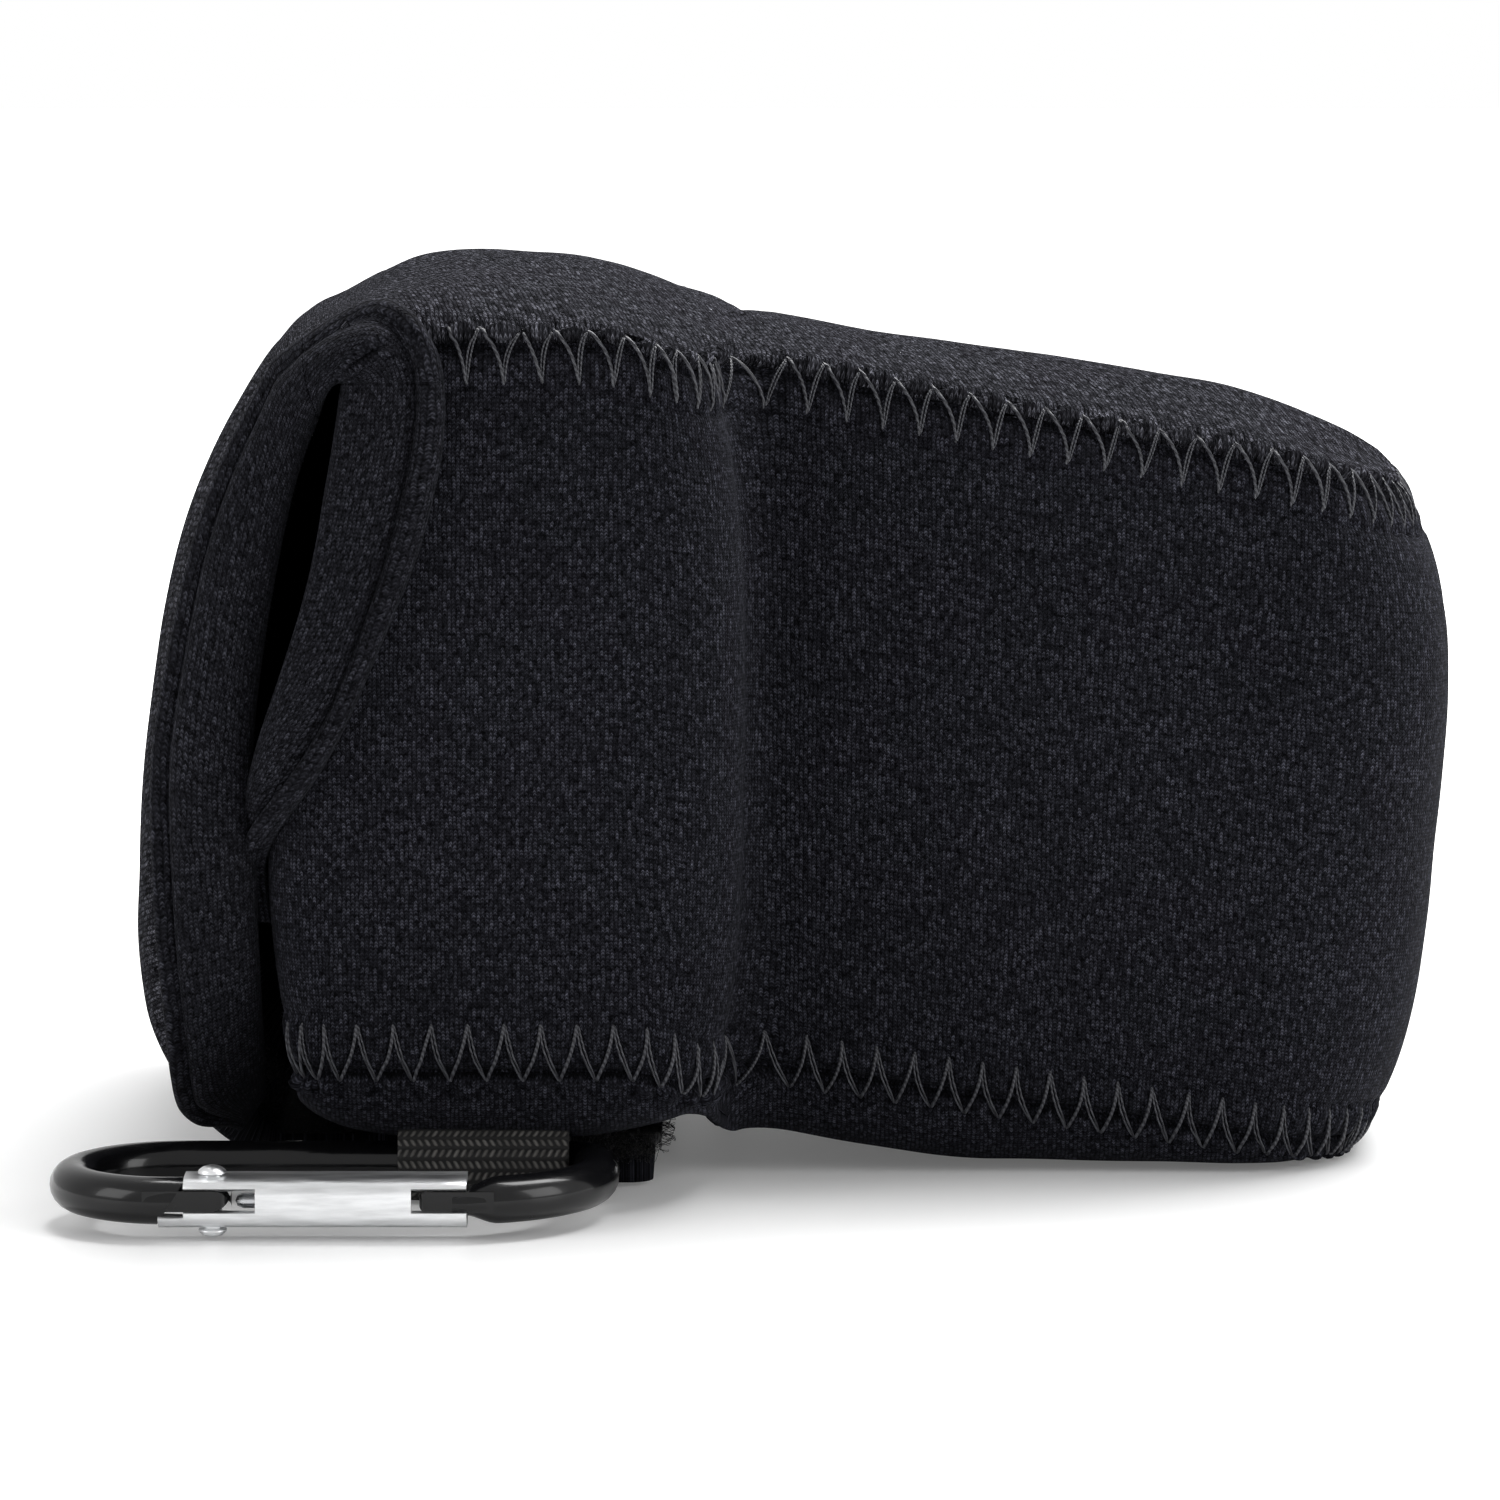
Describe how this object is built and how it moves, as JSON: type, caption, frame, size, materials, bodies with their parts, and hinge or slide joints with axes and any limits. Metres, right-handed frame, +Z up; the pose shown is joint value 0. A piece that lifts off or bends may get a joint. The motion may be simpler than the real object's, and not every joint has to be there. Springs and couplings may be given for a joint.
{
  "type": "camera case",
  "caption": "Padded stretch-cloth case for a camera with a fixed lens nose, with a hinged rear flap, a hook-and-loop closure tab and a snap hook on a webbing loop.",
  "frame": {"origin": "on the underside of the closure tab, on the case's middle plane, at the level of the table", "axes": "+X towards the lens nose, +Z up, +Y away from the side that carries the snap hook"},
  "size_m": [0.1663, 0.1508, 0.1093],
  "materials": {
    "neoprene": "knit-faced foam rubber, matt",
    "edge_tape": "knit tape, matt",
    "thread": "satin",
    "fastener_tape": "hook and loop",
    "webbing": "woven",
    "black_metal": "black gloss coat",
    "bare_metal": "bright",
    "spring_steel": "bright"
  },
  "bodies": {
    "case": {"side_band": "neoprene", "top_panel": "neoprene", "bottom_panel": "neoprene", "opening_tape_near": "edge_tape", "opening_tape_far": "edge_tape", "top_seam_thread": "thread", "bottom_seam_thread": "thread", "loop_patch": "fastener_tape", "webbing_anchor": "webbing"},
    "flap": {"rear_flap": "neoprene", "flap_tape_near": "edge_tape", "flap_tape_far": "edge_tape"},
    "tab": {"closure_tab": "neoprene", "hook_patch": "fastener_tape"},
    "loop": {"webbing_loop": "webbing"},
    "ring": {"carabiner_ring": "black_metal", "gate_pin": "bare_metal"},
    "gate": {"carabiner_gate": "bare_metal", "gate_plunger": "spring_steel", "gate_spring": "spring_steel", "spring_seat": "spring_steel"}
  },
  "joints": [
    {"name": "flap_fold", "type": "hinge", "parent": "case", "child": "flap", "pos_m": [-0.0158, 0, 0.1042], "axis": [0, 1, 0], "range_deg": [0, 110]},
    {"name": "tab_peel", "type": "hinge", "parent": "flap", "child": "tab", "pos_m": [-0.0258, 0, 0], "axis": [0, 1, 0], "range_deg": [0, 110]},
    {"name": "loop_swing", "type": "hinge", "parent": "case", "child": "loop", "pos_m": [0, -0.0516, 0.0037], "axis": [1, 0, 0], "range_deg": [0, 90]},
    {"name": "hook_swing", "type": "hinge", "parent": "loop", "child": "ring", "pos_m": [0, -0.056, 0.0042], "axis": [1, 0, 0], "range_deg": [-15, 90]},
    {"name": "gate_open", "type": "hinge", "parent": "ring", "child": "gate", "pos_m": [-0.0303, -0.0805, 0.0042], "axis": [0, 0, 1], "range_deg": [0, 25], "stiffness_Nm_per_rad": 0.02, "springref_deg": -14.32}
  ]
}
